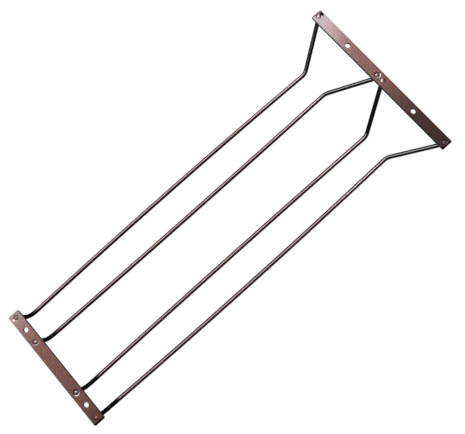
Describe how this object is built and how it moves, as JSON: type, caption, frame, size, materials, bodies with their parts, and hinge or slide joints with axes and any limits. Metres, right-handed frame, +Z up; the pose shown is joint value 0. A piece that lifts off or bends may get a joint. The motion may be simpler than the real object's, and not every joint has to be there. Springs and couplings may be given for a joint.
{
  "type": "hanging wine glass rack",
  "caption": "Under-shelf stemware rack: formed wires riveted between flat screw-down bars make flared channels that hold glasses upside down by the foot.",
  "frame": {"origin": "middle of the front bar's top face, where it lies against the underside of the shelf", "axes": "+Y from the front bar back to the rear bar, along the wires; +X to the right for someone who looks that way; +Z up, out of the bars' top faces. The rack hangs below Z = 0"},
  "size_m": [0.217, 0.506, 0.0408],
  "materials": {
    "bar": "satin",
    "wire": "satin"
  },
  "bodies": {
    "root": {"front_bar": "bar", "rear_bar": "bar", "left_outer_wire": "wire", "left_inner_wire": "wire", "right_inner_wire": "wire", "right_outer_wire": "wire"}
  },
  "joints": []
}
